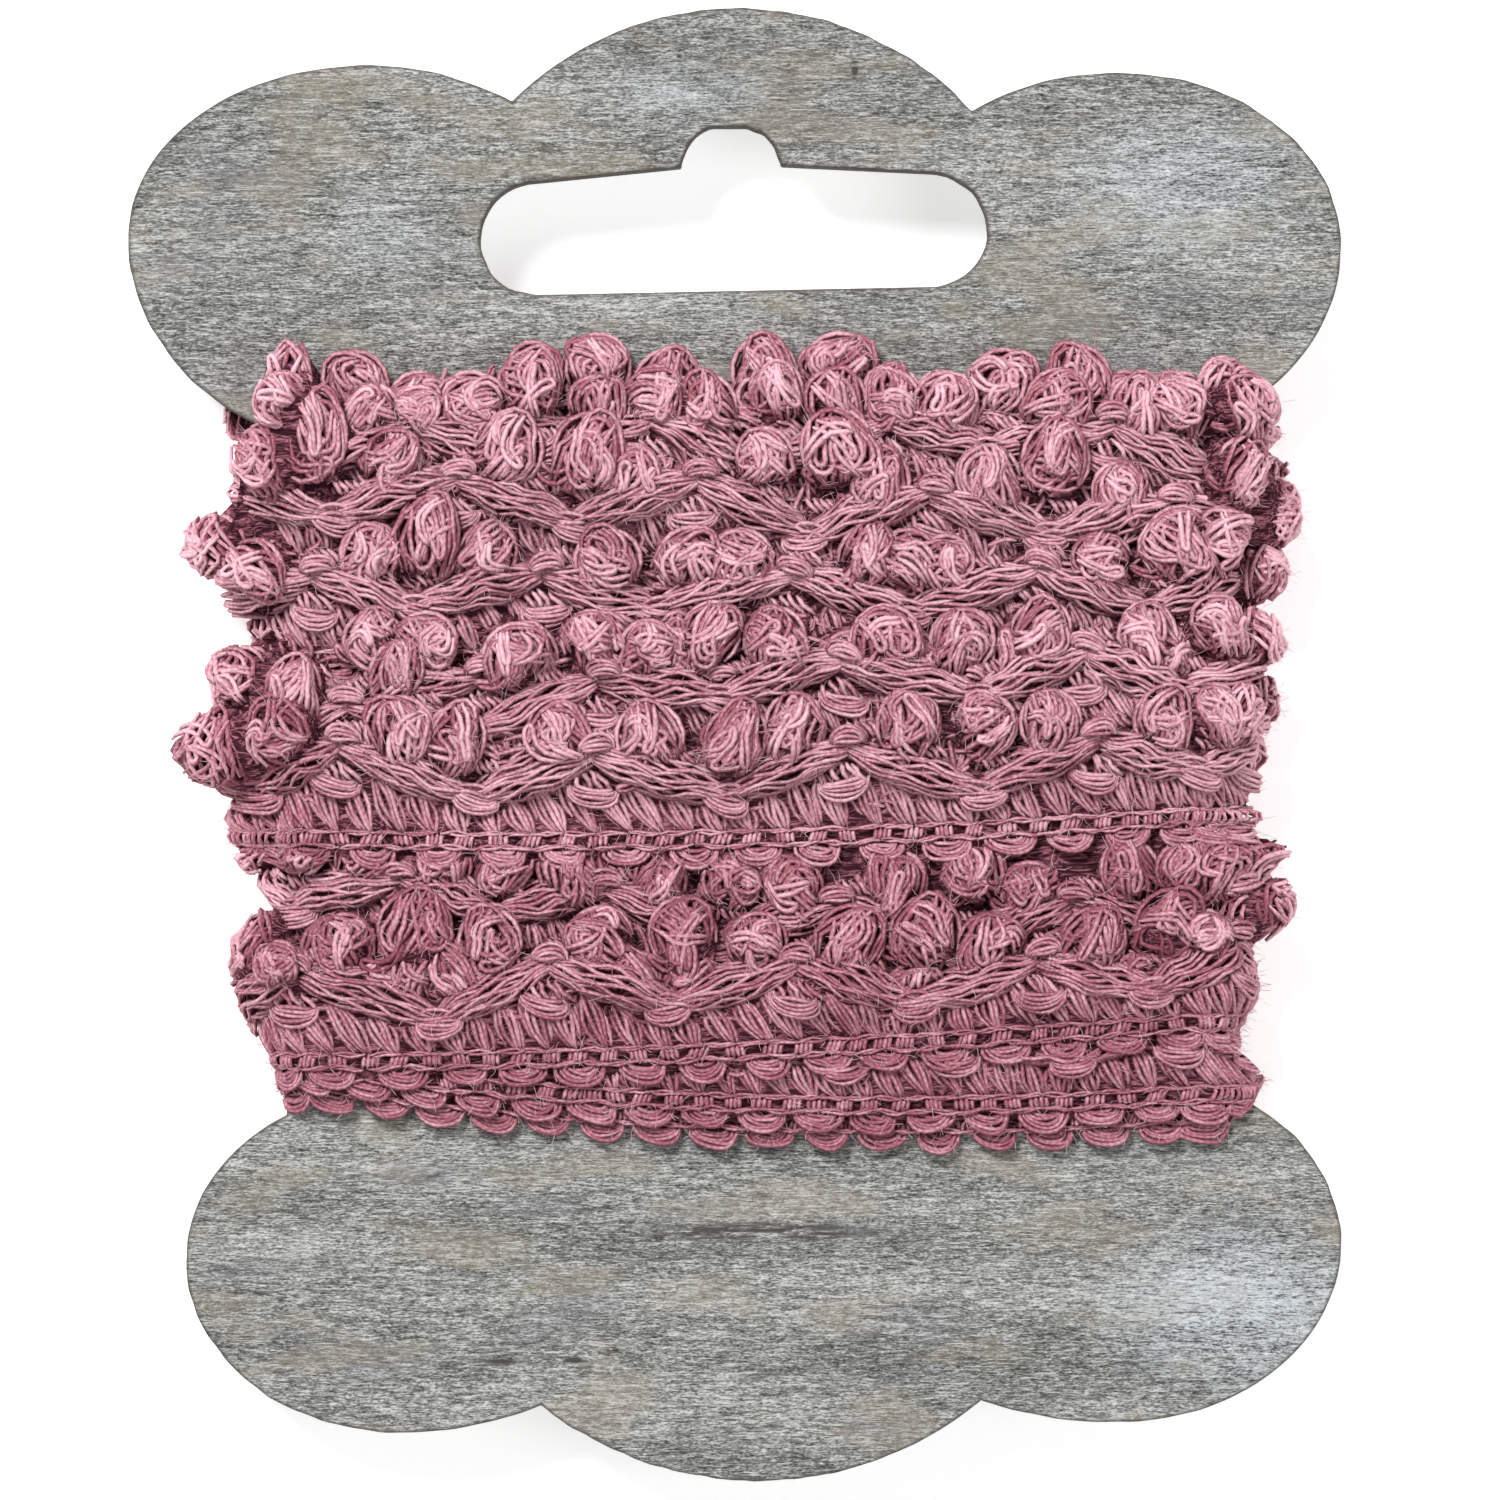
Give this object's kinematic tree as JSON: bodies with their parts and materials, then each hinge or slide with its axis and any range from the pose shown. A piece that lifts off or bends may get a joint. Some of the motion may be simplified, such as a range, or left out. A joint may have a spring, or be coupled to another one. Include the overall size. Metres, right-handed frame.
{
  "type": "crochet lace trim wound on a wooden card",
  "caption": "Crochet lace trim with bobbles, a zigzag and a scalloped edge, wound in overlapping turns round the waist of a flat lobed wooden card with a hanging slot.",
  "frame": {"origin": "centre of the footprint, on the surface that the wound trim rests on", "axes": "+Y up the card's face towards the hanging slot, +X to the right of the face, +Z out of the face"},
  "size_m": [0.0826, 0.1004, 0.0137],
  "materials": {
    "trim": "matt, slightly fuzzy cotton thread",
    "wood": "weathered grey, bare"
  },
  "bodies": {
    "root": {"wound_trim": "trim", "card": "wood"}
  },
  "joints": []
}
